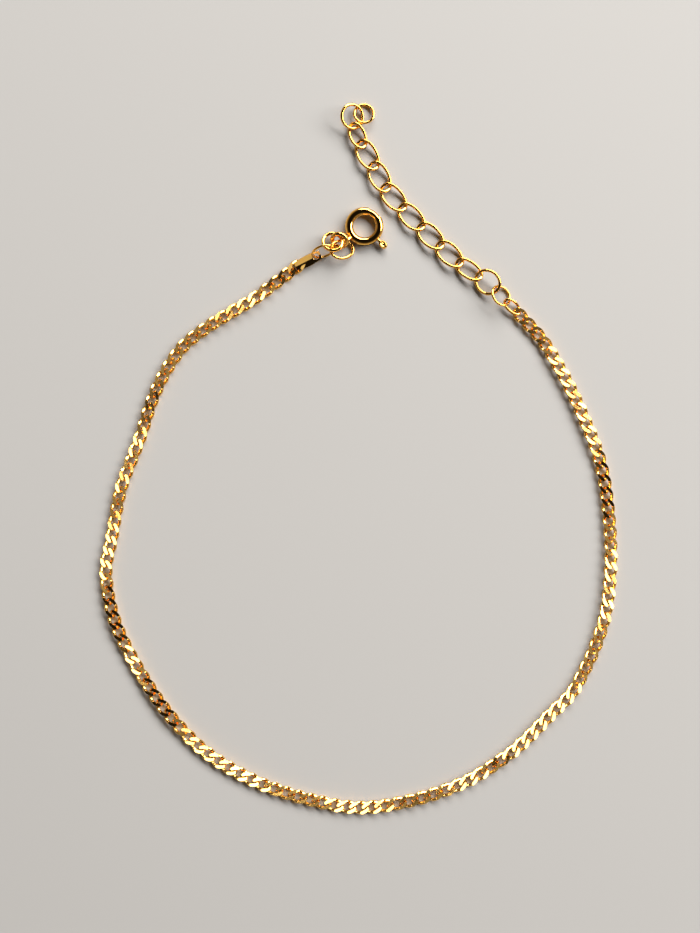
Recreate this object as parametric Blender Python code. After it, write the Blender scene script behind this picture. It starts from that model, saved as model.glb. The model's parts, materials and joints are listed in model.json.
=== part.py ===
"""A fine gold chain anklet lying open on a surface, modelled at its real size.

A flat-cut curb chain runs from an end plate round to a tail of oval extender links. Jump rings join the plate
to the eye of a spring ring clasp, whose lever slides round inside the tube. X runs to the right, Y away from
the viewer and Z up, and the chain rests on z = 0.
"""

import collections
import math

import bmesh
import bpy
import numpy as np

MM = 0.001

# Unit of the places and sizes that stand in lists
LIST_UNIT = 1.0 * MM

# Curb chain: oval links of round wire, twisted so that they lie flat, and ground flat above and below
CURB_WIRE = 0.60 * MM
CURB_SIDE_WIRE = 0.50 * MM
CURB_WIDTH = 1.95 * MM
CURB_PITCH = 1.96 * MM
CURB_THICKNESS = 0.74 * MM
CURB_BITE = 0.02 * MM
CURB_AROUND = 10
CURB_SIDES = 5
CURB_FACET_LIFT = 1.2
CURB_ROUTE = [
    (-11.1, 28.6), (-12.8, 27.3), (-16.3, 24.7), (-20.0, 22.5), (-23.7, 20.2), (-27.1, 17.5), (-29.6, 14.1),
    (-31.5, 10.4), (-34.1, 2.7), (-36.9, -4.8), (-38.4, -12.8), (-39.2, -16.8), (-38.9, -21.2), (-37.9, -25.2),
    (-34.2, -32.8), (-29.6, -39.7), (-23.7, -45.7), (-16.3, -50.1), (-8.3, -52.9), (0.1, -54.3), (8.8, -53.1),
    (16.8, -50.2), (24.1, -45.5), (30.1, -39.6), (33.0, -36.7), (35.2, -32.9), (38.2, -25.1), (39.2, -16.9),
    (38.9, -8.6), (37.6, -0.6), (34.7, 7.0), (30.8, 14.8), (28.4, 18.6), (25.3, 22.0),
]

# End plate: a lens of sheet whose rear end carries one more curb link
PLATE_LENGTH = 4.35 * MM
PLATE_WIDTH = 1.65 * MM
PLATE_THICKNESS = 0.28 * MM
PLATE_TOP = 0.79 * MM
PLATE_EDGE = 0.12 * MM
PLATE_HEADING = 27
PLATE_HOLE = 0.90 * MM
PLATE_HOLE_INSET = 0.62 * MM
PLATE_HOLE_SIDES = 10
PLATE_STATIONS = 8
PLATE_TIP_SHARE = 0.12
PLATE_RIDGE_SHARE = 0.2
PLATE_CURVE = 3
PLATE_FULLNESS = 0.6

# Extender: oval links of round wire. It starts beside the curb chain, and each next joint of two links lies a
# taut link further on, less a slack, in a direction in degrees
LINK_WIRE = 0.50 * MM
LINK_LENGTH = 5.38 * MM
LINK_WIDTH = 3.04 * MM
LINK_AROUND = 12
LINK_SIDES = 5
EXTENDER_START = (15.6, 30.3)
EXTENDER_STEPS = [
    (0.418, 137.05), (0.207, 135.97), (0.207, 134.03), (0.269, 131.05), (0.668, 117.26), (0.349, 119.74),
]

# Links that lie tilted on their neighbours: outer length and width, wire, lift of the twist and centre, then
# roll, pitch and heading in degrees. Those of the free tail count from the extender's last joint
Lying = collections.namedtuple("Lying", "name length width wire lift centre turns")
TAIL_LINKS = [
    Lying("tail_ring_large", 4.10, 4.10, 0.50, 0.00, (-1.37, 4.14, 1.04), (7.9, 25.9, 0)),
    Lying("tail_ring_small", 3.46, 3.46, 0.46, 0.00, (0.46, 4.69, 0.52), (-10.6, 0.5, 0)),
    Lying("extender_link_1", 4.50, 2.74, 0.50, 0.60, (-0.55, 1.26, 0.63), (1.9, 1.1, -65.5)),
]
LYING_LINKS = [
    Lying("extender_link_8", 4.98, 2.80, 0.50, 0.61, (17.15, 29.25, 0.67), (2.8, -3.8, -35.1)),
    Lying("extender_round_link", 4.46, 4.00, 0.50, 0.30, (19.99, 27.27, 1.04), (20.6, -7.9, -35.6)),
    Lying("extender_ring", 3.64, 3.64, 0.40, 0.00, (22.10, 25.16, 1.10), (-34.1, 7.6, -45.3)),
    Lying("joining_link", 3.42, 1.94, 0.44, 0.45, (23.90, 23.50, 0.67), (1.7, 13.0, -40.5)),
    Lying("plate_ring", 3.80, 3.46, 0.36, 0.00, (-5.48, 31.95, 1.56), (-113.3, -12.6, 20.8)),
    Lying("clasp_ring_upper", 3.74, 3.44, 0.54, 0.00, (-3.99, 33.43, 1.46), (-10.2, -20.9, -55.2)),
    Lying("clasp_ring_lower", 4.14, 3.20, 0.44, 0.00, (-2.59, 32.34, 0.87), (-0.2, 18.9, 8.8)),
]

# Spring ring clasp
CLASP_DIAMETER = 6.00 * MM
CLASP_TUBE = 1.30 * MM
CLASP_WALL = 0.15 * MM
CLASP_BEARING = 30.5
CLASP_SIDES = 10
CLASP_STEP = 18
MOUTH_START = 30
MOUTH_END = 75
LEVER_ANGLE = 316
LEVER_TRAVEL = 50
LEVER_ENGAGES = 6
LEVER_CLEARANCE = 0.10 * MM
SEAT_PLAY = 4
SLOT_PLAY = 2
CUT_PAST = 10
STEM_DIAMETER = 0.50 * MM
STEM_SIDES = 8
KNOB_REACH = 4.05 * MM
KNOB_LENGTH = 1.40 * MM
KNOB_WIDTH = 1.10 * MM
KNOB_THICKNESS = 0.90 * MM
KNOB_AROUND = 10
KNOB_RINGS = 7
EYE_DIAMETER = 3.00 * MM
EYE_WIRE = 0.70 * MM
EYE_AROUND = 14
EYE_SIDES = 8
EYE_CENTRE = (-2.95 * MM, 33.70 * MM)
EYE_STANDOFF = 1.46 * MM
EYE_HEADING = -19
EYE_TILT = 42
NECK_DIAMETER = 0.60 * MM
NECK_ANGLE = 22
NECK_RISE = 0.25 * MM

# Free gap left between pieces that are not soldered together
GAP = 0.05 * MM

GOLD = (0.83, 0.56, 0.20, 1.0)
GOLD_ROUGHNESS = 0.18


def gold(name, tint=1.0):
    material = bpy.data.materials.new(name)
    material.use_nodes = True
    shader = material.node_tree.nodes["Principled BSDF"]
    shader.inputs["Base Color"].default_value = tuple(c * tint for c in GOLD[:3]) + (1.0,)
    shader.inputs["Metallic"].default_value = 1.0
    shader.inputs["Roughness"].default_value = GOLD_ROUGHNESS
    return material


def solid(name, points, faces, material=None):
    """An object of closed shells whose faces all point out."""
    mesh = bpy.data.meshes.new(name)
    mesh.from_pydata([tuple(p) for p in points], [], faces)
    tidy = bmesh.new()
    tidy.from_mesh(mesh)
    bmesh.ops.recalc_face_normals(tidy, faces=tidy.faces)
    tidy.to_mesh(mesh)
    tidy.free()
    obj = bpy.data.objects.new(name, mesh)
    bpy.context.scene.collection.objects.link(obj)
    if material:
        mesh.materials.append(material)
        mesh.shade_smooth()
        mesh.set_sharp_from_angle(angle=math.radians(50))
    return obj


def helper(name, points, faces):
    """A solid that only shapes another one."""
    obj = solid(name, points, faces)
    obj.hide_render = True
    obj.display_type = "WIRE"
    return obj


def combine(target, other, operation):
    boolean = target.modifiers.new(other.name, "BOOLEAN")
    boolean.object = other
    boolean.operation = operation
    boolean.solver = "EXACT"


def turned(heading, pitch=0, roll=0):
    """Rotation by roll about X, then pitch about Y, then heading about Z, in degrees."""
    h, p, r = (math.radians(angle) for angle in (heading, pitch, roll))
    about_z = np.array([[math.cos(h), -math.sin(h), 0], [math.sin(h), math.cos(h), 0], [0, 0, 1]])
    about_y = np.array([[math.cos(p), 0, math.sin(p)], [0, 1, 0], [-math.sin(p), 0, math.cos(p)]])
    about_x = np.array([[1, 0, 0], [0, math.cos(r), -math.sin(r)], [0, math.sin(r), math.cos(r)]])
    return about_z @ about_y @ about_x


def grid_faces(rows, columns, closed):
    """Quads over rows of points, each row a closed section, with end caps unless the rows close on themselves."""
    faces = []
    for row in range(rows if closed else rows - 1):
        after = (row + 1) % rows
        for column in range(columns):
            beside = (column + 1) % columns
            faces.append((row * columns + column, row * columns + beside,
                          after * columns + beside, after * columns + column))
    if not closed:
        faces.append(tuple(range(columns)))
        faces.append(tuple(range((rows - 1) * columns, rows * columns)))
    return faces


def wire_loop(reach, half_width, lift, wire, side_wire, around, sides, start=0.0):
    """A closed link of wire: an oval centre line of the given half sizes, which rises by lift * sin * cos.

    Each section has a ridge on its inner side, its first point. The first section is start steps past the end.
    """
    points = []
    for step in range(around):
        t = 2 * math.pi * (step + start) / around
        centre = np.array([reach * math.cos(t), half_width * math.sin(t), -lift * math.cos(t) * math.sin(t)])
        along = np.array([-reach * math.sin(t), half_width * math.cos(t), -lift * math.cos(2 * t)])
        along /= np.linalg.norm(along)
        outward = np.array([half_width * math.cos(t), reach * math.sin(t), 0.0])
        outward -= along * outward.dot(along)
        outward /= np.linalg.norm(outward)
        across = np.cross(along, outward)
        radial = side_wire / 2 + (wire - side_wire) / 2 * math.cos(t) ** 2
        for side in range(sides):
            turn = math.pi + 2 * math.pi * side / sides
            points.append(centre + outward * radial * math.cos(turn) + across * wire / 2 * math.sin(turn))
    return np.array(points), grid_faces(around, sides, True)


def lift_for(wire, reach, spacing):
    """How far a link's twist lifts its wire so that it passes its neighbour's with a gap."""
    share = spacing / 2 / reach
    return (wire + GAP) / (2 * share * math.sqrt(1 - share**2))


def smooth_route(points):
    """Dense points, in metres, of a smooth curve through the chosen ones."""
    chosen = np.array(points) * LIST_UNIT
    gaps = np.linalg.norm(np.diff(chosen, axis=0), axis=1)
    at = np.concatenate([[0], np.cumsum(gaps)])
    slope = np.gradient(chosen, at, axis=0)
    dense = []
    for i, gap in enumerate(gaps):
        u = np.linspace(0, 1, 40, endpoint=False)[:, None]
        dense.append(chosen[i] * (1 + 2 * u) * (1 - u) ** 2 + chosen[i + 1] * u**2 * (3 - 2 * u)
                     + slope[i] * gap * u * (1 - u) ** 2 - slope[i + 1] * gap * u**2 * (1 - u))
    return np.concatenate(dense + [chosen[-1:]])


def route_length():
    """Distance along the route of each of its dense points."""
    return np.concatenate([[0], np.cumsum(np.linalg.norm(np.diff(ROUTE, axis=0), axis=1))])


def route_point(s):
    return np.array([np.interp(s, ROUTE_AT, ROUTE[:, axis]) for axis in (0, 1)])


def curb_places():
    """Centre and heading of each curb link. The two halves meet with a free gap in the middle."""
    places = []
    for i in range(CURB_COUNT):
        s = i * CURB_STEP - (CURB_SLACK if i >= CURB_COUNT // 2 else 0)
        ahead = route_point(s + CURB_STEP / 2) - route_point(s - CURB_STEP / 2)
        places.append(((*route_point(s), CURB_THICKNESS / 2), math.degrees(math.atan2(ahead[1], ahead[0]))))
    return places


def curb_wire(reach):
    """The uncut wire of a curb link whose centre line reaches so far from its middle."""
    lift = CURB_FACET_LIFT * lift_for(CURB_WIRE, reach, CURB_STEP)
    return wire_loop(reach / math.cos(math.pi / CURB_AROUND), (CURB_WIDTH - CURB_SIDE_WIRE) / 2, lift,
                     CURB_WIRE, CURB_SIDE_WIRE, CURB_AROUND, CURB_SIDES, 0.5)


def touching_reach():
    """The reach at which each link's inner end ridge just bites into its neighbour's."""
    reach = CURB_STEP / 2 + CURB_WIRE / 2
    for _ in range(12):
        ridge = curb_wire(reach)[0][0][0]
        reach += (CURB_STEP - CURB_BITE) / 2 - ridge
    return reach


def flat_cut(points):
    """Grinds what stands over the chain's thickness down to its two flats."""
    points[:, 2] = np.clip(points[:, 2], -CURB_THICKNESS / 2, CURB_THICKNESS / 2)
    return points


def curb_link():
    """One finished link's points and faces about its own centre."""
    points, faces = curb_wire(CURB_REACH)
    return flat_cut(points), faces


def curb_chain(name, places, material):
    """Links that touch their neighbours, joined into one body: every other link, united with those between."""
    link_points, link_faces = curb_link()
    halves = []
    for first in (0, 1):
        points = []
        faces = []
        for centre, heading in places[first::2]:
            start = len(points) * len(link_points)
            points.append(link_points @ turned(heading).T + centre)
            faces += [tuple(start + corner for corner in face) for face in link_faces]
        halves.append((np.concatenate(points), faces))
    chain = solid(name, *halves[0], material)
    combine(chain, helper(name + "_between", *halves[1]), "UNION")
    return chain


def end_plate(material, first_centre, first_heading):
    """A lens of sheet, bevelled along its right side, with a hole at its tip and a curb link at its rear."""
    back = turned(first_heading + 180)
    loop_centre = np.array(first_centre) + back @ np.array([CURB_STEP - CURB_SLACK, 0, 0])
    along = turned(PLATE_HEADING)
    loop_points, loop_faces = curb_link()
    rear = CURB_REACH + CURB_WIRE / 2 - CURB_STEP + CURB_SLACK + GAP
    half = PLATE_LENGTH / 2
    points = []
    for station in range(PLATE_STATIONS + 1):
        share = math.sin(math.radians(180 * station / PLATE_STATIONS - 90))
        width = PLATE_WIDTH / 2 * max(1 - abs(share) ** PLATE_CURVE, PLATE_TIP_SHARE) ** PLATE_FULLNESS
        x = rear + half + share * half
        for y, z in ((-width, 0), (width, 0), (width, PLATE_THICKNESS),
                     (-width * PLATE_RIDGE_SHARE, PLATE_THICKNESS), (-width, PLATE_EDGE)):
            points.append((x, y, z))
    ground = np.array([loop_centre[0], loop_centre[1], PLATE_TOP - PLATE_THICKNESS])
    plate = solid("end_plate", np.array(points) @ along.T + ground, grid_faces(PLATE_STATIONS + 1, 5, False),
                  material)
    loop = helper("plate_loop", loop_points @ back.T + loop_centre, loop_faces)
    combine(plate, loop, "UNION")
    hole_at = along @ np.array([rear + PLATE_LENGTH - PLATE_HOLE_INSET, 0, 0]) + ground
    combine(plate, round_bar("plate_hole", hole_at - np.array([0, 0, PLATE_THICKNESS]),
                             hole_at + np.array([0, 0, 2 * PLATE_THICKNESS]), PLATE_HOLE, PLATE_HOLE_SIDES),
            "DIFFERENCE")
    return plate


def round_bar(name, start, end, diameter, sides):
    """A helper cylinder between two points."""
    start, end = np.array(start), np.array(end)
    along = (end - start) / np.linalg.norm(end - start)
    beside = np.cross(along, [0, 0, 1] if abs(along[2]) < 0.9 else [1, 0, 0])
    beside /= np.linalg.norm(beside)
    above = np.cross(along, beside)
    points = []
    for end_point in (start, end):
        for side in range(sides):
            turn = 2 * math.pi * (side + 0.5) / sides
            points.append(end_point + (beside * math.cos(turn) + above * math.sin(turn)) * diameter / 2)
    return helper(name, points, grid_faces(2, sides, False))


def arc_tube(radius, half_wide, half_high, start, stop, sides):
    """Points and faces of a bar bent round the Z axis from one angle to another, in degrees."""
    steps = max(2, round((stop - start) / CLASP_STEP))
    points = []
    for step in range(steps + 1):
        angle = math.radians(start + (stop - start) * step / steps)
        for side in range(sides):
            turn = 2 * math.pi * (side + 0.5) / sides
            wide = radius + half_wide * math.cos(turn)
            points.append((wide * math.cos(angle), wide * math.sin(angle), half_high * math.sin(turn)))
    return np.array(points), grid_faces(steps + 1, sides, False)


def clasp_body(material):
    """The clasp's tube, hollow where the lever slides, with a slot for its stem and the eye soldered on."""
    bore = CLASP_TUBE / 2 - CLASP_WALL
    points, faces = arc_tube(CLASP_RADIUS, CLASP_TUBE / 2, CLASP_TUBE / 2, MOUTH_END, MOUTH_START + 360,
                             CLASP_SIDES)
    body = solid("clasp_body", points + CLASP_CENTRE, faces, material)
    rest_start = LEVER_ANGLE - STEM_ANGLE
    run_start = rest_start - LEVER_TRAVEL
    for name, start, stop in (("bore_run", run_start - STEM_ANGLE, MOUTH_START + 360 + CUT_PAST),
                              ("bore_seat", MOUTH_END - CUT_PAST, MOUTH_END + LEVER_ENGAGES + SEAT_PLAY)):
        points, faces = arc_tube(CLASP_RADIUS, bore, bore, start, stop, CLASP_SIDES)
        combine(body, helper(name, points + CLASP_CENTRE, faces), "DIFFERENCE")
    slot_high = STEM_DIAMETER / 2 + LEVER_CLEARANCE
    points, faces = arc_tube(CLASP_RADIUS + CLASP_TUBE / 2, CLASP_TUBE / 2, slot_high * math.sqrt(2),
                             run_start - SLOT_PLAY, LEVER_ANGLE + STEM_ANGLE + SLOT_PLAY, 4)
    combine(body, helper("stem_slot", points + CLASP_CENTRE, faces), "DIFFERENCE")
    reach = (EYE_DIAMETER - EYE_WIRE) / 2
    points, faces = wire_loop(reach, reach, 0, EYE_WIRE, EYE_WIRE, EYE_AROUND, EYE_SIDES)
    tilt = turned(EYE_HEADING, 0, EYE_TILT)
    eye_centre = np.array([*EYE_CENTRE, EYE_WIRE / 2 + reach * math.sin(math.radians(EYE_TILT))])
    combine(body, helper("eye", points @ tilt.T + eye_centre, faces), "UNION")
    joint = math.radians(NECK_ANGLE)
    near = eye_centre + tilt @ (reach * np.array([math.cos(joint), math.sin(joint), 0]))
    towards = math.atan2(near[1] - CLASP_CENTRE[1], near[0] - CLASP_CENTRE[0])
    far = CLASP_CENTRE + [CLASP_RADIUS * math.cos(towards), CLASP_RADIUS * math.sin(towards), NECK_RISE]
    combine(body, round_bar("neck", near, far, NECK_DIAMETER, STEM_SIDES), "UNION")
    return body


def clasp_lever(material):
    """The gate wire inside the tube with its stem and oval knob. Its origin is the clasp's centre."""
    gate = CLASP_TUBE / 2 - CLASP_WALL - LEVER_CLEARANCE
    points, faces = arc_tube(CLASP_RADIUS, gate, gate, LEVER_ANGLE - STEM_ANGLE, MOUTH_END + 360 + LEVER_ENGAGES,
                             CLASP_SIDES)
    lever = solid("clasp_lever", points, faces, material)
    outward = np.array([math.cos(math.radians(LEVER_ANGLE)), math.sin(math.radians(LEVER_ANGLE)), 0])
    stem = round_bar("stem", outward * CLASP_RADIUS, outward * KNOB_REACH, STEM_DIAMETER, STEM_SIDES)
    knob = bmesh.new()
    bmesh.ops.create_uvsphere(knob, u_segments=KNOB_AROUND, v_segments=KNOB_RINGS, radius=0.5)
    knob_points = np.array([v.co[:] for v in knob.verts]) * [KNOB_LENGTH, KNOB_WIDTH, KNOB_THICKNESS]
    knob_faces = [tuple(v.index for v in face.verts) for face in knob.faces]
    knob.free()
    knob_helper = helper("knob", knob_points @ turned(LEVER_ANGLE).T + outward * KNOB_REACH, knob_faces)
    for shape in (stem, knob_helper):
        shape.parent = lever
        combine(lever, shape, "UNION")
    lever.location = CLASP_CENTRE
    return lever


def link(name, material, length, width, wire, centre, turns, lift=0.0):
    """A wire link of the given outer sizes. Its turns are roll, pitch and heading in degrees."""
    points, faces = wire_loop((length - wire) / 2, (width - wire) / 2, lift, wire, wire, LINK_AROUND, LINK_SIDES)
    obj = solid(name, points, faces, material)
    obj.location = centre
    obj.rotation_euler = [math.radians(angle) for angle in turns]
    return obj


def extender_joints():
    """Where the extender's links meet, from its free end back to its start."""
    joints = [np.array(EXTENDER_START) * LIST_UNIT]
    for slack, direction in EXTENDER_STEPS:
        step = LINK_LENGTH - 2 * LINK_WIRE - slack * LIST_UNIT
        way = math.radians(direction)
        joints.append(joints[-1] + step * np.array([math.cos(way), math.sin(way)]))
    return joints[::-1]


def extender_links(material, joints):
    """One twisted oval link between each two joints of the extender."""
    for i, (start, end) in enumerate(zip(joints, joints[1:])):
        heading = math.degrees(math.atan2(end[1] - start[1], end[0] - start[0]))
        link(f"extender_link_{i + 2}", material, LINK_LENGTH, LINK_WIDTH, LINK_WIRE,
             (*(start + end) / 2, LINK_HEIGHT), (0, 0, heading), LINK_LIFT)


def lying_links(material, rows, ground):
    """The links of a list that lie tilted on their neighbours, placed from a point of the ground."""
    for row in rows:
        length, width, wire, lift, *centre = np.array([*row[1:5], *row.centre]) * LIST_UNIT
        link(row.name, material, length, width, wire, centre + np.array([*ground, 0]), row.turns, lift)


CLASP_RADIUS = (CLASP_DIAMETER - CLASP_TUBE) / 2
CLASP_CENTRE = np.array([*EYE_CENTRE, CLASP_TUBE / 2]) + (CLASP_DIAMETER / 2 + EYE_STANDOFF) * np.array(
    [math.cos(math.radians(CLASP_BEARING)), math.sin(math.radians(CLASP_BEARING)), 0])
STEM_ANGLE = math.degrees(STEM_DIAMETER / 2 / CLASP_RADIUS)
ROUTE = smooth_route(CURB_ROUTE)
ROUTE_AT = route_length()
CURB_SLACK = CURB_BITE + GAP
CURB_COUNT = round(ROUTE_AT[-1] / CURB_PITCH) + 1
CURB_STEP = (ROUTE_AT[-1] + CURB_SLACK) / (CURB_COUNT - 1)
CURB_REACH = touching_reach()
LINK_REACH = (LINK_LENGTH - LINK_WIRE) / 2
LINK_LIFT = lift_for(LINK_WIRE, LINK_REACH, 2 * LINK_REACH - LINK_WIRE - GAP)
LINK_HEIGHT = (LINK_LIFT + LINK_WIRE) / 2


def main():
    for obj in list(bpy.data.objects):
        bpy.data.objects.remove(obj)
    chain_gold = gold("chain_gold")
    ring_gold = gold("ring_gold", 0.97)
    clasp_gold = gold("clasp_gold", 0.94)
    places = curb_places()
    middle = len(places) // 2
    curb_chain("curb_chain_left", places[:middle], chain_gold)
    curb_chain("curb_chain_right", places[middle:], chain_gold)
    end_plate(chain_gold, *places[0])
    joints = extender_joints()
    extender_links(ring_gold, joints)
    lying_links(ring_gold, TAIL_LINKS, joints[0])
    lying_links(ring_gold, LYING_LINKS, (0, 0))
    clasp_body(clasp_gold)
    clasp_lever(clasp_gold)
    print(len(places), "curb links at", round(CURB_STEP / MM, 4), "mm, reach", round(CURB_REACH / MM, 4), "mm")


main()
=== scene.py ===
# %% [markdown]
# # A gold chain anklet, laid out on a pale table
#
# The anklet is a curb chain with a small plate at one end, a spring ring clasp that hangs on that plate by
# jump rings, and a tail of oval links at the other end. This lesson dresses a plain measured model of it: the
# frame. The frame knows where every piece lies, so each new piece takes its place from there. The golds are
# mixed first, then come the small links, the curb chain, its plate and the clasp, and the light last.

# %% Load the measured model
import json
import math

import bmesh
import bpy
import numpy as np
from mathutils import Matrix, Vector


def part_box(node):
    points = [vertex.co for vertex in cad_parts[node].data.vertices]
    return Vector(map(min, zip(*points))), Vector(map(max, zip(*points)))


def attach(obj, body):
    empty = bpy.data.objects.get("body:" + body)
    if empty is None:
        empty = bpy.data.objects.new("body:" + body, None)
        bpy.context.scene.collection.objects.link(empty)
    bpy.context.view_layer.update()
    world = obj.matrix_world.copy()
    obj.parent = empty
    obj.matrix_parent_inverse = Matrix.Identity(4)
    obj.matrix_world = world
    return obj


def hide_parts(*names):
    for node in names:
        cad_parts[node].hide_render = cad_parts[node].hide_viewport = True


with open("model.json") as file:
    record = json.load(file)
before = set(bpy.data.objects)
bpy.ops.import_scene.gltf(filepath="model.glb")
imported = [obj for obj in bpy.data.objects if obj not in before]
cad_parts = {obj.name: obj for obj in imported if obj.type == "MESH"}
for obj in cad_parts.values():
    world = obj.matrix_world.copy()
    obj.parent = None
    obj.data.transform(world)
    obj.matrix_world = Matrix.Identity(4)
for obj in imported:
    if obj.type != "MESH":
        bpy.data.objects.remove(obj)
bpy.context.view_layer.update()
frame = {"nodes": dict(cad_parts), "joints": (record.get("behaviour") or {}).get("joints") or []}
MM = 0.001

# %% [markdown]
# Most of Blender's tools act on whatever is selected, and the frame arrives selected. So every piece starts
# from a clean bench: object mode, with nothing selected. To work on one piece, it alone is then taken up.

# %% A clean bench
def clear_bench():
    """Leaves edit mode and selects nothing."""
    if bpy.context.object and bpy.context.object.mode != "OBJECT":
        bpy.ops.object.mode_set(mode="OBJECT")
    bpy.ops.object.select_all(action="DESELECT")


def take(obj):
    """Makes one piece the only one that the tools work on."""
    clear_bench()
    obj.select_set(True)
    bpy.context.view_layer.objects.active = obj


clear_bench()
print("selected on the bench:", len(bpy.context.selected_objects))

# %% [markdown]
# A piece that was moved or scaled as an object is settled: its place goes into its mesh and the object itself
# stays at the origin, so that patterns on the metal lie alike on every piece. Modifiers are applied straight
# away, because a cut or a rounded rim should be real faces before the next step works on them.

# %% Settling and finishing a mesh
def settle(obj):
    """Moves an object's place, turn and size into its mesh."""
    take(obj)
    bpy.ops.object.transform_apply(location=True, rotation=True, scale=True)
    return obj


def apply_modifier(obj, kind, **settings):
    """Adds a modifier with its settings and makes its result the piece's own mesh."""
    take(obj)
    modifier = obj.modifiers.new(kind.lower(), kind)
    for name, value in settings.items():
        setattr(modifier, name, value)
    bpy.ops.object.modifier_apply(modifier=modifier.name)
    print(obj.name, "after", kind.lower(), "has", len(obj.data.polygons), "faces")


def round_rims(obj, width, segments, angle):
    """Rounds every edge that is sharper than an angle in degrees."""
    apply_modifier(obj, "BEVEL", width=width, segments=segments, limit_method="ANGLE",
                   angle_limit=math.radians(angle))


def smooth(obj, angle):
    """Shades a piece smooth, except over edges sharper than an angle in degrees."""
    take(obj)
    bpy.ops.object.shade_smooth_by_angle(angle=math.radians(angle))


# %% [markdown]
# What repeats is modelled once and copied. Each copy gets its own mesh, because two objects that share a mesh
# would move together. Cutting tools are thrown away once they have cut.

# %% Copies, joined pieces and scrap
def copy_at(source, name, place):
    """A copy of a finished piece with its own mesh, moved by a matrix."""
    obj = source.copy()
    obj.data = source.data.copy()
    obj.name = name
    bpy.context.collection.objects.link(obj)
    obj.data.transform(place)
    return obj


def join(objects, name):
    """Makes one object of several, with the name given."""
    clear_bench()
    for obj in objects:
        obj.select_set(True)
    bpy.context.view_layer.objects.active = objects[0]
    bpy.ops.object.join()
    objects[0].name = name
    print(name, "joined from", len(objects), "parts")
    return objects[0]


def discard(obj):
    bpy.data.objects.remove(obj)


# %% [markdown]
# ## Gold, as a shader
#
# Plated and polished brass is a bare metal surface: its colour comes from what it reflects, so most of the
# look is made by roughness and by the room. The surface maths could be wired up node by node. Plain Python
# expressions are easier to read, so a small class wraps a socket, and each operator adds a Math node.

# %% A socket that does arithmetic
class Wire:
    """A node's socket that can be added, subtracted, multiplied and clamped like a number."""

    def __init__(self, tree, value):
        self.tree = tree
        self.value = value

    def maths(self, operation, *values):
        return self.node("ShaderNodeMath", {"operation": operation}, *values)

    def node(self, kind, settings, *values, output=0, **named):
        """Adds a node with its settings, then links or sets its inputs by order or by name."""
        made = self.tree.nodes.new(kind)
        for name, value in settings.items():
            if name == "stops":
                for i, (position, colour) in enumerate(value):
                    ramp = made.color_ramp.elements
                    stop = ramp[i] if i < len(ramp) else ramp.new(position)
                    stop.position = position
                    stop.color = colour
            else:
                setattr(made, name, value)
        plugs = list(zip(made.inputs, values)) + [(made.inputs[key], value) for key, value in named.items()]
        for plug, value in plugs:
            if isinstance(value, Wire):
                self.tree.links.new(value.value, plug)
            elif value is not None:
                plug.default_value = value
        return Wire(self.tree, made.outputs[output])

    def __add__(self, other):
        return self.maths("ADD", self, other)

    def __mul__(self, other):
        return self.maths("MULTIPLY", self, other)

    def __sub__(self, other):
        return self.maths("SUBTRACT", self, other)

    def __rsub__(self, other):
        return self.maths("SUBTRACT", other, self)

    __radd__ = __add__
    __rmul__ = __mul__

    def clamp(self, low, high):
        return self.maths("MINIMUM", self.maths("MAXIMUM", self, low), high)


print("a wire can:", [name.strip("_") for name in vars(Wire) if callable(getattr(Wire, name))])

# %% [markdown]
# No plated chain is perfect. The plating is a shade redder where it is thin, handling leaves a haze, and the
# polish has fine scratches. A picture of worn gold could be wrapped round the wire, but it would stretch at
# every bend. So each of these is a soft noise in space instead, at the scale of the wire.

# %% The gold finish
# How often each pattern repeats in a metre, and how deep the scratches are
CLOUD_SCALE = 900.0
GRAIN_SCALE = 6500.0
SCRATCH_SCALE = 2600.0
SCRATCH_DEPTH = 0.02 * MM


def gold(name, colour, deep, roughness, haze, scratch):
    """Polished plating: a colour that drifts to a deeper one, hazy patches and fine scratches."""
    material = bpy.data.materials.new(name)
    material.use_nodes = True
    tree = material.node_tree
    shader = tree.nodes["Principled BSDF"]
    shader.inputs["Metallic"].default_value = 1.0
    start = Wire(tree, None)
    place = start.node("ShaderNodeTexCoord", {}, output=3)
    cloud = start.node("ShaderNodeTexNoise", {}, Vector=place, Scale=CLOUD_SCALE, Detail=3.0, Roughness=0.6)
    grain = start.node("ShaderNodeTexNoise", {}, Vector=place, Scale=GRAIN_SCALE, Detail=4.0, Roughness=0.65)
    stretched = start.node("ShaderNodeMapping", {}, Vector=place, Rotation=(0.3, 0.2, 0.7),
                           Scale=(1.0, 9.0, 3.0))
    lines = start.node("ShaderNodeTexNoise", {}, Vector=stretched, Scale=SCRATCH_SCALE, Detail=3.0,
                       Roughness=0.7)
    patch = ((cloud - 0.42) * 4.0).clamp(0.0, 1.0)
    tone = start.node("ShaderNodeMix", {"data_type": "RGBA"}, output=2, Factor=patch * 0.55)
    colours = [plug for plug in tone.value.node.inputs if plug.type == "RGBA"]
    colours[0].default_value = colour
    colours[1].default_value = deep
    dull = (patch * haze + (grain - 0.5) * haze + roughness).clamp(0.03, 0.6)
    bump = start.node("ShaderNodeBump", {}, Strength=scratch, Distance=SCRATCH_DEPTH,
                      Height=lines + grain * 0.5)
    tree.links.new(tone.value, shader.inputs["Base Color"])
    tree.links.new(dull.value, shader.inputs["Roughness"])
    tree.links.new(bump.value, shader.inputs["Normal"])
    print("material", name, "with", len(tree.nodes), "nodes")
    return material


# %% [markdown]
# One bath of plating still looks different on each piece. Flats that were ground on a wheel are a little
# hazier than drawn wire, and the clasp is polished brightest. The plate's top is brushed to a satin, which
# spreads its reflection wide.

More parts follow.
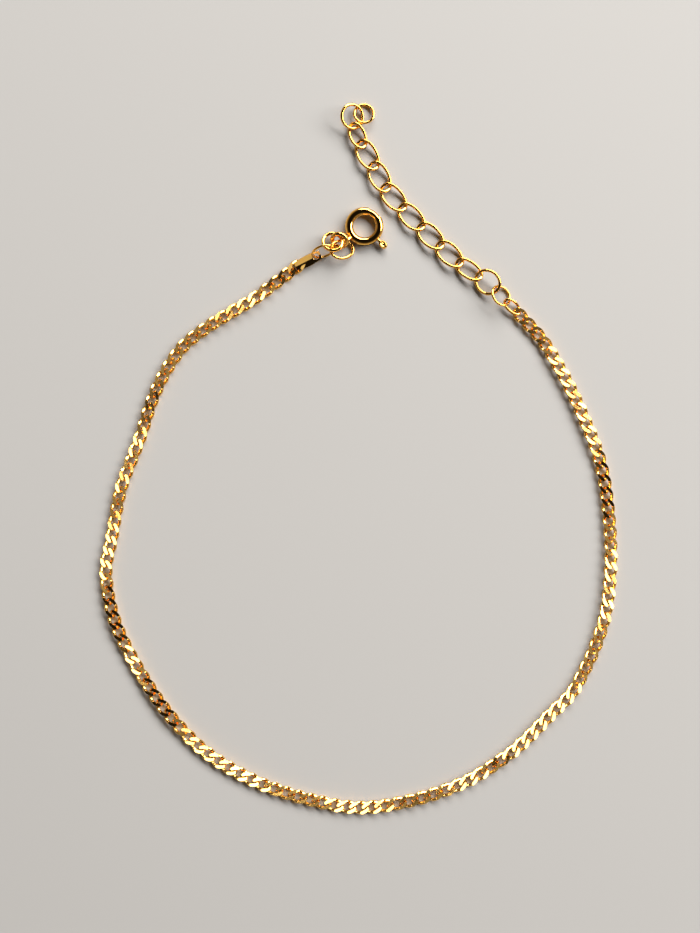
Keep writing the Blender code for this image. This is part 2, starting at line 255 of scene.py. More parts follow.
# %% Four golds
CHAIN_GOLD = gold("polished_chain_gold", (1.0, 0.60, 0.16, 1), (0.92, 0.50, 0.11, 1),
                  roughness=0.07, haze=0.04, scratch=0.05)
RING_GOLD = gold("drawn_wire_gold", (0.98, 0.55, 0.12, 1), (0.88, 0.43, 0.07, 1),
                 roughness=0.05, haze=0.03, scratch=0.03)
CLASP_GOLD = gold("clasp_bright_gold", (0.98, 0.56, 0.13, 1), (0.90, 0.45, 0.08, 1),
                  roughness=0.04, haze=0.02, scratch=0.02)
SATIN_GOLD = gold("satin_plate_gold", (1.0, 0.58, 0.14, 1), (0.95, 0.50, 0.10, 1),
                  roughness=0.32, haze=0.05, scratch=0.10)

# %% [markdown]
# A finished piece has to move with the right part of the anklet: it rides a body of the frame, either the
# chain or the clasp's lever. It takes the place of the plain node that it was modelled after, which is hidden.

# %% Putting a finished piece on the model
def finish_piece(obj, material, body, slot, *nodes):
    """Gives a piece its gold, its body and the plain nodes that it stands for; the slot is not used."""
    if material:
        obj.data.materials.clear()
        obj.data.materials.append(material)
    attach(obj, body)
    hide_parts(*nodes)
    print(obj.name, len(obj.data.polygons), "faces for", ", ".join(nodes))


print("plain nodes to replace:", len(frame["nodes"]))

# %% [markdown]
# ## Rings and links of wire
#
# A link is one piece of wire bent round. In Blender a Bezier circle with a round bevel is just that: when
# the circle is stretched in edit mode, the path becomes an oval but the wire keeps its thickness, which
# scaling a torus would not do. A twist then lifts two corners and lowers the other two, so that the next
# link can pass, as when a jeweller twists an oval link with two pliers.

# %% A ring or oval of wire
def wire_link(name, length, width, wire, twist=0.0, segments=12, sides=4):
    """An oval of wire about the origin with its length on X, twisted by so many degrees end to end."""
    clear_bench()
    reach = (length - wire) / 2
    half_width = (width - wire) / 2
    bpy.ops.curve.primitive_bezier_circle_add(radius=reach)
    obj = bpy.context.object
    obj.name = name
    obj.data.bevel_depth = wire / 2
    obj.data.bevel_resolution = sides
    obj.data.resolution_u = segments
    obj.data.use_fill_caps = True
    bpy.ops.object.mode_set(mode="EDIT")
    bpy.ops.curve.select_all(action="SELECT")
    bpy.ops.transform.resize(value=(1, half_width / reach, 1))
    bpy.ops.object.mode_set(mode="OBJECT")
    bpy.ops.object.convert(target="MESH")
    obj = bpy.context.object
    if twist:
        apply_modifier(obj, "SIMPLE_DEFORM", deform_method="TWIST", deform_axis="X",
                       angle=-math.radians(twist))
    smooth(obj, 50)
    print(name, "size mm:", [round(side / MM, 2) for side in obj.dimensions])
    return obj


# %% [markdown]
# A jump ring is cut wire that is pushed shut, so a hair-thin seam stays where its ends meet. A thin block
# takes that slit out of the ring with a Boolean, which gives it clean square ends.

# %% The seam of a jump ring
SEAM = 0.04 * MM


def open_seam(ring, length, wire, angle):
    """Cuts the seam of a jump ring at an angle round its oval, in degrees."""
    clear_bench()
    turn = math.radians(angle)
    bpy.ops.mesh.primitive_cube_add(size=1)
    blade = bpy.context.object
    blade.dimensions = (length, SEAM, 3 * wire)
    blade.location = (length / 2 * math.cos(turn), length / 2 * math.sin(turn), 0)
    blade.rotation_euler = (0, 0, turn)
    settle(blade)
    apply_modifier(ring, "BOOLEAN", object=blade, operation="DIFFERENCE", solver="EXACT")
    discard(blade)
    smooth(ring, 50)


print("seam mm:", round(SEAM / MM, 3))

# %% [markdown]
# The frame holds each small link as a coarse loop that lies as the real one does. Its corners say how it
# lies: they spread most along the link's length, less across it, and least through it. Those three
# directions are the principal axes of its points, and together with the middle they make one placing matrix.

# %% Where a link of the frame lies
def lie_of(node):
    """The matrix that puts a link modelled flat at the origin where the frame's link lies."""
    corners = np.array([v.co[:] for v in frame["nodes"][node].data.vertices])
    corners = np.unique(corners.round(7), axis=0)
    middle = corners.mean(axis=0)
    spread, axes = np.linalg.eigh(np.cov((corners - middle).T))
    along, across, through = axes[:, 2], axes[:, 1], axes[:, 0]
    if through[2] < 0:
        through = -through
    if along[0] < 0:
        along = -along
    across = np.cross(through, along)
    place = Matrix.Identity(4)
    for column, vector in enumerate((along, across, through, middle)):
        for row in range(3):
            place[row][column] = vector[row]
    print(node, "lies at mm:", [round(float(value) / MM, 1) for value in middle])
    return place


# %% [markdown]
# The tail's oval links, its round rings and the jump rings at the clasp differ only in size, twist and seam.
# So one table describes them all. The ovals at the two ends of the tail are shorter than the rest, the round
# link beside them is hardly twisted, and the rings aren't twisted at all.

# %% Sizes of the small links
# Outer length and width, wire and twist of each small link, in millimetres and degrees, and for a jump ring
# the angle of its seam
SMALL_LINKS = {
    "extender_link_1": (4.50, 2.74, 0.50, 60, None),
    **{f"extender_link_{i}": (5.38, 3.36, 0.50, 50, None) for i in range(2, 8)},
    "extender_link_8": (4.98, 2.90, 0.50, 54, None),
    "extender_round_link": (4.46, 4.00, 0.50, 20, None),
    "joining_link": (3.42, 1.94, 0.44, 70, None),
    "extender_ring": (3.64, 3.64, 0.40, 0, 200),
    "tail_ring_large": (4.10, 4.10, 0.50, 0, None),
    "tail_ring_small": (3.46, 3.46, 0.46, 0, 178),
    "plate_ring": (3.80, 3.46, 0.36, 0, 100),
    "clasp_ring_upper": (3.74, 3.44, 0.56, 0, 60),
    "clasp_ring_lower": (4.16, 3.22, 0.46, 0, 250),
}
print("small links:", len(SMALL_LINKS))

# %% [markdown]
# Each link is bent from its own row of the table. A jump ring has its seam cut while it still lies flat at
# the origin, where a cut is easiest to aim. Only then does the link go to where the frame's link lies.

# %% Make the small links
for node, (length, width, wire, twist, seam) in SMALL_LINKS.items():
    piece = wire_link(node + "_wire", length * MM, width * MM, wire * MM, twist)
    if seam is not None:
        open_seam(piece, length * MM, wire * MM, seam)
    piece.data.transform(lie_of(node))
    finish_piece(piece, RING_GOLD, "chain", "ring_gold", node)

# %% [markdown]
# ## The curb chain
#
# A curb chain is made of ovals that are twisted so far that each lies flat across its neighbours. Then the
# whole chain is held against a grinding wheel, above and below, which gives every link its bright flats. The
# link is modelled once: an oval of wire, twisted, and then cut by two level planes with the Bisect tool,
# which fills the cuts. The chain is 112 copies, and each has only a few hundred faces.

# %% One curb link
CURB_LENGTH = 3.24 * MM
CURB_WIDTH = 2.12 * MM
CURB_WIRE = 0.53 * MM
CURB_TWIST = 118
CURB_FLAT = 0.36 * MM
# Bisect treats a corner this near to the plane as lying in it, in metres; its usual value is too coarse here
CUT_THRESHOLD = 1e-6


def grind(obj, height, upward):
    """Cuts away what stands over a level plane and fills the cut with a flat."""
    take(obj)
    bpy.ops.object.mode_set(mode="EDIT")
    bpy.ops.mesh.select_all(action="SELECT")
    bpy.ops.mesh.bisect(plane_co=(0, 0, height), plane_no=(0, 0, upward), use_fill=True, clear_outer=True,
                        threshold=CUT_THRESHOLD)
    bpy.ops.object.mode_set(mode="OBJECT")


curb_link = wire_link("curb_link", CURB_LENGTH, CURB_WIDTH, CURB_WIRE, CURB_TWIST, segments=10, sides=3)
grind(curb_link, CURB_FLAT, 1)
grind(curb_link, -CURB_FLAT, -1)
smooth(curb_link, 30)
print("curb link faces:", len(curb_link.data.polygons))
print("curb link size mm:", [round(side / MM, 2) for side in curb_link.dimensions])

# %% [markdown]
# The chain lies along a route of a few chosen points, the same that the frame was built on. Straight lines
# between them would show as corners in the chain, so a smooth curve runs through them, and the links stand on
# it at an even step.

# %% The chain's route
# Points of the route in millimetres, from the plate round to the tail
CURB_ROUTE = [
    (-11.1, 28.6), (-12.8, 27.3), (-16.3, 24.7), (-20.0, 22.5), (-23.7, 20.2), (-27.1, 17.5),
    (-29.6, 14.1), (-31.5, 10.4), (-34.1, 2.7), (-36.9, -4.8), (-38.4, -12.8), (-39.2, -16.8),
    (-38.9, -21.2), (-37.9, -25.2), (-34.2, -32.8), (-29.6, -39.7), (-23.7, -45.7), (-16.3, -50.1),
    (-8.3, -52.9), (0.1, -54.3), (8.8, -53.1), (16.8, -50.2), (24.1, -45.5), (30.1, -39.6), (33.0, -36.7),
    (35.2, -32.9), (38.2, -25.1), (39.2, -16.9), (38.9, -8.6), (37.6, -0.6), (34.7, 7.0), (30.8, 14.8),
    (28.4, 18.6), (25.3, 22.0),
]
CURB_COUNT = 112
CURB_SLACK = 0.07 * MM
ROUTE_STEPS = 40


def smooth_route(points):
    """A dense line of points along a smooth curve through the chosen ones."""
    chosen = np.array(points) * MM
    gaps = np.linalg.norm(np.diff(chosen, axis=0), axis=1)
    at = np.concatenate([[0], np.cumsum(gaps)])
    slope = np.gradient(chosen, at, axis=0)
    dense = []
    for i, gap in enumerate(gaps):
        u = np.linspace(0, 1, ROUTE_STEPS, endpoint=False)[:, None]
        dense.append(chosen[i] * (1 + 2 * u) * (1 - u) ** 2 + chosen[i + 1] * u**2 * (3 - 2 * u)
                     + slope[i] * gap * u * (1 - u) ** 2 - slope[i + 1] * gap * u**2 * (1 - u))
    return np.concatenate(dense + [chosen[-1:]])


route = smooth_route(CURB_ROUTE)
route_at = np.concatenate([[0], np.cumsum(np.linalg.norm(np.diff(route, axis=0), axis=1))])
CURB_STEP = (route_at[-1] + CURB_SLACK) / (CURB_COUNT - 1)
print("route mm:", round(route_at[-1] / MM, 1), "step mm:", round(CURB_STEP / MM, 3))

# %% [markdown]
# A chain laid by hand is never quite level: every link leans a degree or two, and whole stretches roll
# outwards a little and back. That roll is what makes some stretches flash white while others stay dull or
# dark. Pure chance would scatter the flashes evenly, so the roll follows a table along the chain, and chance
# only adds a little to each link.

# %% How each link leans
# Link number and roll in degrees, with even change in between
ROLL_STATIONS = [
    (0, 0.5), (1.6, 2.5), (3, 7.5), (4, 7), (4.7, 4.5), (5.4, 7.5), (6.3, 7), (7.6, 2.5), (12, 2.5),
    (16.8, 1.5), (18, 6.5), (19, 6.5), (19.8, 4), (20.6, 6.5), (21.8, 6), (23.4, 1), (24.2, 1.5), (25.4, 6),
    (29.2, 6), (30.4, 0), (31.2, -3.5), (34.6, -3.5), (36, 6), (37.4, 6), (39, -3.5), (42.6, -3.5),
    (44.5, 5.5), (48.8, 6), (49.4, 4), (50, 6), (51.4, 6), (52.5, 1), (56, 1), (57, 6), (60.3, 6),
    (61.5, 0.5), (62.5, -2), (65.2, -2), (66.6, 6), (68.4, 6), (69.4, 4.5), (70.3, -1), (71, -1), (72, 6),
    (72.8, 6), (73.3, 3.5), (74, 5.5), (79, 6), (80.1, 1), (84.1, 1), (85.2, 5.5), (86.8, 6), (87.6, 3.5),
    (88.4, 5.5), (90.2, 5.5), (91.2, 1), (93, 1), (94, -3.5), (97.5, -3.5), (99.1, 6), (107, 6), (108.2, 1),
    (111, 0),
]
# How far chance spreads the roll, pitch and yaw of a link, in degrees
LEAN_SPREAD = (0.6, 0.6, 0.8)
chance = np.random.default_rng(7)
lean_noise = chance.normal(0, 1, (CURB_COUNT + 1, 3)) * LEAN_SPREAD


def lean(i):
    """Roll, pitch and yaw of link i: the roll of its stretch, and a little chance in each."""
    roll = np.interp(i, *zip(*ROLL_STATIONS)) + lean_noise[i][0]
    return tuple(math.radians(angle) for angle in (roll, *lean_noise[i][1:]))


rolls = [math.degrees(lean(i)[0]) for i in range(CURB_COUNT)]
print("rolls from", round(min(rolls), 1), "to", round(max(rolls), 1), "degrees")

# %% [markdown]
# A link's place is one matrix, read from right to left: roll it about its own length, pitch it, turn it to
# face along the route, and carry it there. A link that leans would dip one edge below the table, so it is
# lifted by about as much as its edge goes down.

# %% Where each curb link lies
chain_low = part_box("curb_chain_right")[0]


def route_point(s):
    """The point of the route at so many metres along it."""
    return np.array([np.interp(s, route_at, route[:, axis]) for axis in (0, 1)])


def curb_place(i):
    """Where link i lies: on the route, along it, and leaning a little."""
    s = i * CURB_STEP - (CURB_SLACK if i >= CURB_COUNT // 2 else 0)
    x, y = route_point(s)
    ahead = route_point(s + CURB_STEP / 2) - route_point(s - CURB_STEP / 2)
    roll, pitch, yaw = lean(i)
    lift = CURB_WIDTH / 2 * abs(math.sin(roll)) + CURB_LENGTH / 4 * abs(math.sin(pitch))
    return (Matrix.Translation((x, y, chain_low.z + CURB_FLAT + lift))
            @ Matrix.Rotation(math.atan2(ahead[1], ahead[0]) + yaw, 4, "Z")
            @ Matrix.Rotation(pitch, 4, "Y") @ Matrix.Rotation(roll, 4, "X"))


print("link 0 at mm:", [round(value / MM, 2) for value in curb_place(0).translation])

# %% [markdown]
# Now the link is copied along the route. The frame holds the chain as two halves that interlock where they
# meet, so the copies are joined into the same two halves, and each half takes the place of its own node.

# %% Lay the chain
half = CURB_COUNT // 2
for name, first, last in (("curb_chain_left", 0, half), ("curb_chain_right", half, CURB_COUNT)):
    links = [copy_at(curb_link, f"curb_{i}", curb_place(i)) for i in range(first, last)]
    chain = join(links, name + "_links")
    finish_piece(chain, CHAIN_GOLD, "chain", "chain_gold", name)

# %% [markdown]
# ## The end plate
#
# The chain ends in a small plate of sheet, shaped like a long seed with both tips trimmed. It hangs on the
# chain by one more curb link at its rear. That link lies level, one step before the route's start. The plate
# begins near the link's middle and lies over it, so its place is worked out from the link.

# %% Sizes and place of the plate
PLATE_LENGTH = 4.35 * MM
PLATE_WIDTH = 1.72 * MM
PLATE_THICKNESS = 0.28 * MM
PLATE_TOP = 0.79 * MM
PLATE_HEADING = math.radians(27)
first_ahead = route_point(CURB_STEP / 2) - route_point(0)
first_heading = math.atan2(first_ahead[1], first_ahead[0])
loop_middle = Vector((*route_point(0), chain_low.z + CURB_FLAT)) - Vector(
    (math.cos(first_heading), math.sin(first_heading), 0)) * (CURB_STEP - CURB_SLACK)
plate_rear = CURB_LENGTH / 2 - CURB_STEP + 2 * CURB_SLACK
plate_middle = loop_middle + Vector((math.cos(PLATE_HEADING), math.sin(PLATE_HEADING), 0)) * (
    plate_rear + PLATE_LENGTH / 2)
print("plate at mm:", [round(value / MM, 2) for value in plate_middle])

# %% [markdown]
# A press cuts the blank and stamps it with one long bevel. Here the seed is a circle pulled long, thickened
# by an extrusion. Three cuts with Bisect follow: one through each tip, and a slanted one for the bevel, which
# leaves a straight ridge along the plate. Cuts keep the planes truly flat, as a stamp does.

# %% The stamped blank
PLATE_BLANK = 6.00 * MM
BEVEL_SLOPE = 0.25
PLATE_CUTS = (
    ((PLATE_LENGTH / 2, 0, 0), (1, 0, 0)),
    ((-PLATE_LENGTH / 2, 0, 0), (-1, 0, 0)),
    ((0, 0, PLATE_THICKNESS), (0, -BEVEL_SLOPE, 1)),
)
clear_bench()
bpy.ops.mesh.primitive_circle_add(vertices=64, radius=PLATE_BLANK / 2, fill_type="NGON")
plate = bpy.context.object
plate.name = "end_plate_seed"
bpy.ops.object.mode_set(mode="EDIT")
bpy.ops.mesh.select_all(action="SELECT")
bpy.ops.transform.resize(value=(1, PLATE_WIDTH / PLATE_BLANK, 1))
bpy.ops.mesh.extrude_region_move(TRANSFORM_OT_translate={"value": (0, 0, PLATE_THICKNESS)})
for middle, outward in PLATE_CUTS:
    bpy.ops.mesh.select_all(action="SELECT")
    bpy.ops.mesh.bisect(plane_co=middle, plane_no=outward, use_fill=True, clear_outer=True,
                        threshold=CUT_THRESHOLD)
bpy.ops.mesh.select_all(action="SELECT")
bpy.ops.mesh.normals_make_consistent(inside=False)
bpy.ops.object.mode_set(mode="OBJECT")
print("blank size mm:", [round(side / MM, 2) for side in plate.dimensions])

# %% [markdown]
# A punch takes out the hole for the plate's ring, and tumbling in a polishing barrel rounds the rims by a
# hair. The hole is a Boolean with a round bar, and the rims are a narrow Bevel on the sharp edges alone.

# %% The punched hole
PLATE_HOLE = 0.98 * MM
PLATE_HOLE_INSET = 0.80 * MM
clear_bench()
bpy.ops.mesh.primitive_cylinder_add(vertices=32, radius=PLATE_HOLE / 2, depth=4 * PLATE_THICKNESS,
                                    location=(PLATE_LENGTH / 2 - PLATE_HOLE_INSET, 0, 0))
punch = settle(bpy.context.object)
apply_modifier(plate, "BOOLEAN", object=punch, operation="DIFFERENCE", solver="EXACT")
discard(punch)
round_rims(plate, width=0.02 * MM, segments=2, angle=20)

# %% [markdown]
# The level top is satin, while the bevel and the rims keep the chain's polish. Faces can be picked in code by
# their normal: only the level top looks straight up, because the bevel leans by fourteen degrees.

# %% Satin on the level top
LEVEL_UP = 0.995
plate.data.materials.append(CHAIN_GOLD)
plate.data.materials.append(SATIN_GOLD)
take(plate)
bpy.ops.object.mode_set(mode="EDIT")
bpy.ops.mesh.select_mode(type="FACE")
bpy.ops.mesh.select_all(action="DESELECT")
shell = bmesh.from_edit_mesh(plate.data)
for face in shell.faces:
    face.select = face.normal.z > LEVEL_UP
bmesh.update_edit_mesh(plate.data)
plate.active_material_index = 1
bpy.ops.object.material_slot_assign()
bpy.ops.object.mode_set(mode="OBJECT")
print("satin faces:", sum(face.material_index == 1 for face in plate.data.polygons))

# %% [markdown]
# The plate goes to its place beside the chain, and its rear loop is one more copy of the curb link. It is
# shaded smooth only below twelve degrees, so that the ridge between its two top planes stays a crisp line.

# %% The plate in its place
plate.data.transform(Matrix.Translation((plate_middle.x, plate_middle.y, PLATE_TOP - PLATE_THICKNESS))
                     @ Matrix.Rotation(PLATE_HEADING, 4, "Z"))
smooth(plate, 12)
rear_loop = copy_at(curb_link, "rear_loop", Matrix.Translation(loop_middle)
                    @ Matrix.Rotation(first_heading, 4, "Z"))
rear_loop.data.materials.append(CHAIN_GOLD)
plate = join([plate, rear_loop], "end_plate_seed")
finish_piece(plate, None, "chain", "chain_gold", "end_plate")
discard(curb_link)

# %% [markdown]
# ## The spring ring clasp
#
# The clasp is a thin tube bent into a ring with a mouth on one side. A second, thinner ring of wire slides
# inside it and closes the mouth; a spring holds it there, and a thumb knob on a short stem pulls it back.
# Both rings turn about the same middle, which the frame gives as the joint's position, so every part of the
# clasp is modelled about the origin and moved there at the end.

# %% Sizes of the clasp
# Angles are in degrees round the ring, counted from the X axis
clasp_middle = Vector(frame["joints"][0]["pos_m"])
CLASP_DIAMETER = 6.00 * MM
CLASP_TUBE = 1.30 * MM
CLASP_WALL = 0.12 * MM
MOUTH = (30.0, 75.0)
LEVER_ANGLE = 316.0
LEVER_TRAVEL = 50.0
tube_radius = (CLASP_DIAMETER - CLASP_TUBE) / 2
print("clasp at mm:", [round(value / MM, 2) for value in clasp_middle])

# %% [markdown]
# The tube, the slot's cutter and the gate are all stretches of the same ring, so one helper makes them: a
# torus whose other faces are picked by their angle and deleted. A curve with a bevel would do as well, but on
# a torus the angles of the mouth and of the lever can be used as they are.

# %% A stretch of a ring
def angle_of(point):
    return math.degrees(math.atan2(point.y, point.x)) % 360


def ring_part(name, thick, start, stop, segments=144, sides=32):
    """A stretch of a torus about the origin, from one angle to another, open at its ends."""
    clear_bench()
    bpy.ops.mesh.primitive_torus_add(major_segments=segments, minor_segments=sides,
                                     major_radius=tube_radius, minor_radius=thick / 2)
    obj = bpy.context.object
    obj.name = name
    bpy.ops.object.mode_set(mode="EDIT")
    bpy.ops.mesh.select_all(action="DESELECT")
    shell = bmesh.from_edit_mesh(obj.data)
    for face in shell.faces:
        angle = angle_of(face.calc_center_median())
        face.select = not (start <= angle <= stop or start <= angle + 360 <= stop)
    bmesh.update_edit_mesh(obj.data)
    bpy.ops.mesh.delete(type="FACE")
    bpy.ops.object.mode_set(mode="OBJECT")
    print(name, "faces:", len(obj.data.polygons))
    return obj


def cap_ends(obj):
    """Fills the two open ends of a stretch of ring and turns all its faces outwards."""
    take(obj)
    bpy.ops.object.mode_set(mode="EDIT")
    bpy.ops.mesh.select_mode(type="EDGE")
    bpy.ops.mesh.select_all(action="DESELECT")
    bpy.ops.mesh.select_non_manifold()
    bpy.ops.mesh.edge_face_add()
    bpy.ops.mesh.select_all(action="SELECT")
    bpy.ops.mesh.normals_make_consistent(inside=False)
    bpy.ops.object.mode_set(mode="OBJECT")


# %% [markdown]
# The tube's two cut ends show its thin wall at the mouth. Solidify gives the stretch of ring a real wall on
# its inner side, so the tube is truly hollow, and the lever has room to slide in it.

# %% The tube
tube = ring_part("clasp_tube", CLASP_TUBE, MOUTH[1], MOUTH[0] + 360)
apply_modifier(tube, "SOLIDIFY", thickness=CLASP_WALL, offset=-1, use_rim=True)

# %% [markdown]
# The stem needs a slot to slide in, cut through the tube's outer wall. The cutter is another stretch of ring,
# scaled up about the clasp's middle until it runs along the outer wall, so the slot follows the curve of the
# ring. It is as long as the lever's travel, with a little play at both ends.

# %% The slot
STEM = 0.50 * MM
SLOT = 0.62 * MM
PLAY_OPEN = 4
PLAY_SHUT = 3
stem_angle = math.degrees(STEM / 2 / tube_radius)
slot_cutter = ring_part("slot_cutter", SLOT, LEVER_ANGLE - LEVER_TRAVEL - stem_angle - PLAY_OPEN,
                        LEVER_ANGLE + stem_angle + PLAY_SHUT)
outwards = CLASP_DIAMETER / 2 / tube_radius
take(slot_cutter)
bpy.ops.object.mode_set(mode="EDIT")
bpy.ops.mesh.select_all(action="SELECT")
bpy.ops.transform.resize(value=(outwards, outwards, 1), center_override=(0, 0, 0))
bpy.ops.object.mode_set(mode="OBJECT")
cap_ends(slot_cutter)
apply_modifier(tube, "BOOLEAN", object=slot_cutter, operation="DIFFERENCE", solver="EXACT")
discard(slot_cutter)
round_rims(tube, width=0.015 * MM, segments=2, angle=50)
tube.data.transform(Matrix.Translation(clasp_middle))
smooth(tube, 40)

# %% [markdown]
# The eye is a ring of thick wire, soldered on by a short neck. It leans, because it stands partly on its
# edge beside the flat clasp. It is bent flat at the origin like every link, then tilted, turned and lifted
# until its lowest wire touches the table.

# %% The eye
EYE_DIAMETER = 3.00 * MM
EYE_WIRE = 0.70 * MM
EYE_CENTRE = (-2.95 * MM, 33.70 * MM)
EYE_HEADING = math.radians(-19)
EYE_TILT = math.radians(42)
eye_reach = (EYE_DIAMETER - EYE_WIRE) / 2
eye_place = (Matrix.Translation((*EYE_CENTRE, EYE_WIRE / 2 + eye_reach * math.sin(EYE_TILT)))
             @ Matrix.Rotation(EYE_HEADING, 4, "Z") @ Matrix.Rotation(EYE_TILT, 4, "X"))
eye = wire_link("clasp_eye", EYE_DIAMETER, EYE_DIAMETER, EYE_WIRE, segments=16, sides=6)
eye.data.transform(eye_place)

# %% [markdown]
# The neck is a plain round bar whose ends sink into the tube and into the eye, as a soldered bar does, and
# its rims are rounded like a fillet of solder. It joins the tube on the side that the lever never reaches,
# and it stops at a share of the way to the tube's middle line, so that only its end is inside.

# %% The neck, and the clasp's body
NECK = 0.60 * MM
NECK_ANGLE = math.radians(22)
NECK_RISE = 0.25 * MM
NECK_SHARE = 0.62


def bar(name, start, end, radius, sides=24):
    """A round bar between two points."""
    clear_bench()
    along = end - start
    turn = along.to_track_quat("Z", "Y").to_euler()
    bpy.ops.mesh.primitive_cylinder_add(vertices=sides, radius=radius, depth=along.length,
                                        location=(start + end) / 2, rotation=turn)
    print(name, "length mm:", round(along.length / MM, 2))
    return settle(bpy.context.object)


neck_start = eye_place @ (eye_reach * Vector((math.cos(NECK_ANGLE), math.sin(NECK_ANGLE), 0)))
towards = math.atan2(neck_start.y - clasp_middle.y, neck_start.x - clasp_middle.x)
neck_end = clasp_middle + Vector((tube_radius * math.cos(towards), tube_radius * math.sin(towards),
                                  NECK_RISE))
neck = bar("neck", neck_start, neck_start.lerp(neck_end, NECK_SHARE), NECK / 2)
round_rims(neck, width=0.04 * MM, segments=3, angle=50)
smooth(neck, 40)
clasp = join([tube, eye, neck], "clasp_tube_and_eye")
finish_piece(clasp, CLASP_GOLD, "chain", "clasp_gold", "clasp_body")

# %% [markdown]
# ## The lever
#
# The gate wire, its stem and the knob are one piece. The gate reaches from the stem through the tube, across
# the mouth, and a few degrees into the tube's other end, where it is caught. It is thinner than the tube's
# inside, so that it slides.

# %% The gate and its stem
GATE = 0.98 * MM
GATE_SEAT = 6.0
KNOB_REACH = 4.05 * MM
gate = ring_part("clasp_gate", GATE, LEVER_ANGLE - stem_angle, MOUTH[1] + 360 + GATE_SEAT)
cap_ends(gate)
lever_turn = math.radians(LEVER_ANGLE)
lever_out = Vector((math.cos(lever_turn), math.sin(lever_turn), 0))
stem = bar("stem", lever_out * tube_radius, lever_out * KNOB_REACH, STEM / 2)

# %% [markdown]
# The knob is a small cushion, pressed with a dimple that gives the thumbnail a hold. It starts as a ball one
# unit wide, because round numbers are easy to think in: its top is cut off level, and that new face is inset
# three times, the last two times a little lower. Scaled down to the knob's size, it becomes a cushion.

# %% The knob
KNOB_SIZE = (1.48 * MM, 1.20 * MM, 0.92 * MM)
KNOB_CUT = 0.34
# Inset and depth of each step of the dimple, as shares of the ball
DIMPLE = ((0.07, 0.0), (0.08, -0.10), (0.10, -0.05))
clear_bench()
bpy.ops.mesh.primitive_uv_sphere_add(segments=40, ring_count=24, radius=0.5)
knob = bpy.context.object
knob.name = "thumb_knob"
bpy.ops.object.mode_set(mode="EDIT")
bpy.ops.mesh.select_all(action="SELECT")
bpy.ops.mesh.bisect(plane_co=(0, 0, KNOB_CUT), plane_no=(0, 0, 1), use_fill=True, clear_outer=True)
bpy.ops.mesh.select_mode(type="FACE")
bpy.ops.mesh.select_all(action="DESELECT")
shell = bmesh.from_edit_mesh(knob.data)
top = max(shell.faces, key=lambda face: face.calc_center_median().z)
top.select = True
bmesh.update_edit_mesh(knob.data)
for thickness, depth in DIMPLE:
    bpy.ops.mesh.inset(thickness=thickness, depth=depth)
bpy.ops.object.mode_set(mode="OBJECT")
knob.scale = KNOB_SIZE
knob.rotation_euler = (0, 0, lever_turn)
knob.location = lever_out * KNOB_REACH
settle(knob)
round_rims(knob, width=0.03 * MM, segments=3, angle=35)

# %% [markdown]
# The three parts become one piece, and it is the only one that rides the lever's body. When the joint turns,
# the gate, the stem and the knob slide together round the clasp's middle.

# %% The lever on the clasp
lever = join([gate, stem, knob], "clasp_gate_and_knob")
lever.data.transform(Matrix.Translation(clasp_middle))
smooth(lever, 40)
finish_piece(lever, CLASP_GOLD, "lever", "clasp_gold", "clasp_lever")

# %% [markdown] ## The table  Gold needs a plain ground: the table is pale, a little warm and matt, so that
# it throws soft light back up into the links and catches their small shadows. It lies a hair under the
# level that the frame rests on, because two surfaces in exactly the same plane flicker.

# %% A pale table
TABLE_SIZE = 1.2
TABLE_DROP = 0.01 * MM
clear_bench()
bpy.ops.mesh.primitive_plane_add(size=TABLE_SIZE, location=(0, 0, -TABLE_DROP))
table = bpy.context.object
table.name = "table_top"
table_paint = bpy.data.materials.new("pale_table")
table_paint.use_nodes = True
table_shader = table_paint.node_tree.nodes["Principled BSDF"]
table_shader.inputs["Base Color"].default_value = (0.430, 0.418, 0.405, 1)
table_shader.inputs["Roughness"].default_value = 0.85
table_shader.inputs["Specular IOR Level"].default_value = 0.2
table.data.materials.append(table_paint)
print("table width m:", round(table.dimensions.x, 2))

# %% [markdown]
# ## The light
#
# Bright metal shows the room more than itself, so the lights are shapes to be mirrored as much as they are
# lamps. Each is a soft box, set by how bright its surface looks: two boxes of one brightness then give equal
# white in the metal, whatever their sizes.

# %% A soft box
def soft_box(name, where, size, radiance, colour=(1, 1, 1)):
    """A rectangular light whose surface is so bright, aimed at the middle of the table."""
    clear_bench()
    bpy.ops.object.light_add(type="AREA", location=where)
    lamp = bpy.context.object
    lamp.name = name
    lamp.data.shape = "RECTANGLE"
    lamp.data.size = size[0]
    lamp.data.size_y = size[1]
    lamp.data.energy = radiance * math.pi * size[0] * size[1]
    lamp.data.color = colour
    lamp.rotation_euler = (-Vector(where)).to_track_quat("-Z", "Y").to_euler()
    print(name, "watts:", round(lamp.data.energy, 3))
    return lamp


def sky_point(azimuth, elevation, distance):
    """A point in the room, given by two angles in degrees and by how far it is from the table's middle."""
    a, e = math.radians(azimuth), math.radians(elevation)
    level = distance * math.cos(e)
    return (level * math.cos(a), level * math.sin(a), distance * math.sin(e))


# %% [markdown]
# The main light is one large box, low on the far right side. It gives the long white streaks on the round
# wire and the short shadows. A low box suits a chain: its light grazes the flats and rims instead of
# flooding them all from above.

# %% The main light
soft_box("key_box", sky_point(azimuth=50, elevation=34, distance=1.0), size=(2.0, 0.46), radiance=13.5,
         colour=(1, 0.99, 0.97))

# %% [markdown]
# Two rings of strips stand over the chain. A flat that rolls outwards by about six degrees mirrors a strip of
# the bright ring and flashes white, a nearly level one mirrors the dim ring and stays a dull gold, and one
# that rolls inwards sees neither and stays dark. Light linking lets the strips reach the curb chain alone, so
# that the clasp and the table keep their plain light. The plate's satin top gets a card of its own.

# %% Strips for the flats and a card for the plate
STRIPS = 8
STRIP_HEIGHT = 0.30
RING_MIDDLE_Y = -0.01
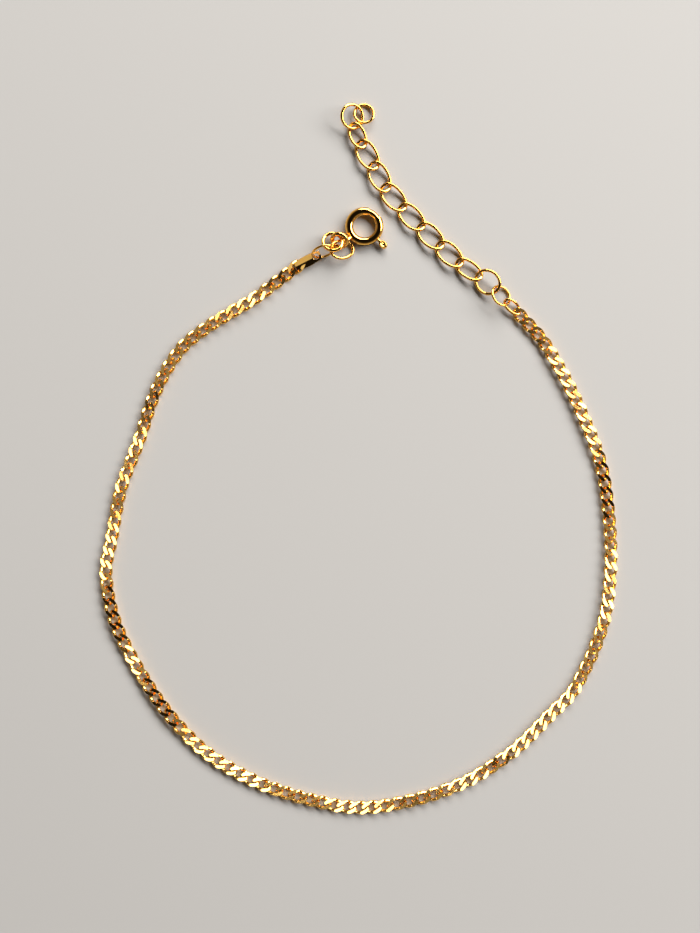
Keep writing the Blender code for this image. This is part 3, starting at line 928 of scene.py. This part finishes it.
# Name, reach from the middle, size and radiance of each ring of strips
STRIP_RINGS = (
    ("bright", 0.195, (0.155, 0.09), 5.5),
    ("dim", 0.122, (0.10, 0.05), 0.28),
)


def shine_only_on(lamp, *names):
    """Lets a light reach some pieces and nothing else."""
    lit = bpy.data.collections.new("lit_by_" + lamp.name)
    for name in names:
        lit.objects.link(bpy.data.objects[name])
    lamp.light_linking.receiver_collection = lit


for ring, reach, size, radiance in STRIP_RINGS:
    for k in range(STRIPS):
        turn = 2 * math.pi * k / STRIPS
        where = (reach * math.cos(turn), reach * math.sin(turn) + RING_MIDDLE_Y, STRIP_HEIGHT)
        strip = soft_box(f"{ring}_strip_{k + 1}", where, size, radiance)
        shine_only_on(strip, "curb_chain_left_links", "curb_chain_right_links")
plate_card = soft_box("plate_card", (-0.0175, 0.069, 0.25), (0.11, 0.11), 0.8)
shine_only_on(plate_card, "end_plate_seed")

# %% [markdown]
# The room itself is mirrored too. It is warm and fairly light near the horizon, which fills the sides of the
# wire with gold, and nearly black straight overhead, so that level flats and the tops of the tubes go dark.
# That contrast is what makes metal look polished. A colour ramp over how high each direction points paints it.

# %% The room
world = bpy.data.worlds.new("studio_room")
bpy.context.scene.world = world
world.use_nodes = True
room = world.node_tree
room_start = Wire(room, None)
direction = room_start.node("ShaderNodeTexCoord", {})
height = room_start.node("ShaderNodeSeparateXYZ", {}, direction, output=2)
tone = room_start.node("ShaderNodeValToRGB", {"stops": [
    (0.0, (0.40, 0.34, 0.27, 1)), (0.36, (0.30, 0.25, 0.19, 1)), (0.60, (0.06, 0.05, 0.038, 1)),
    (0.80, (0.009, 0.008, 0.007, 1))]}, height)
room.links.new(tone.value, room.nodes["Background"].inputs["Color"])
room.nodes["Background"].inputs["Strength"].default_value = 1.0
print("room with", len(room.nodes), "nodes")

# %% [markdown]
# ## The camera
#
# The view is a plan: the camera looks straight down. How high it stands follows from the scale, because a
# picture so many pixels tall, at so many pixels to the millimetre, shows a known height of table, and the
# lens says from how far away that height fills the sensor.

# %% The camera
# The picture's size in pixels, and the lens and its sensor in millimetres
PHOTO = (700, 933)
PIXELS_PER_MM = 6.43
VIEW_MIDDLE = (-1.32 * MM, -1.32 * MM)
LENS = 50.0
SENSOR = 36.0
camera_data = bpy.data.cameras.new("plan_camera")
camera_data.lens = LENS
camera_data.sensor_width = SENSOR
camera = bpy.data.objects.new("plan_camera", camera_data)
bpy.context.collection.objects.link(camera)
camera_height = LENS / SENSOR * PHOTO[1] / PIXELS_PER_MM * MM
camera.location = (*VIEW_MIDDLE, camera_height + CURB_FLAT)
camera_data.clip_start = 0.01
bpy.context.scene.camera = camera
bpy.context.scene.view_settings.view_transform = "Standard"
print("camera height mm:", round(camera_height / MM, 1))

# %% [markdown]
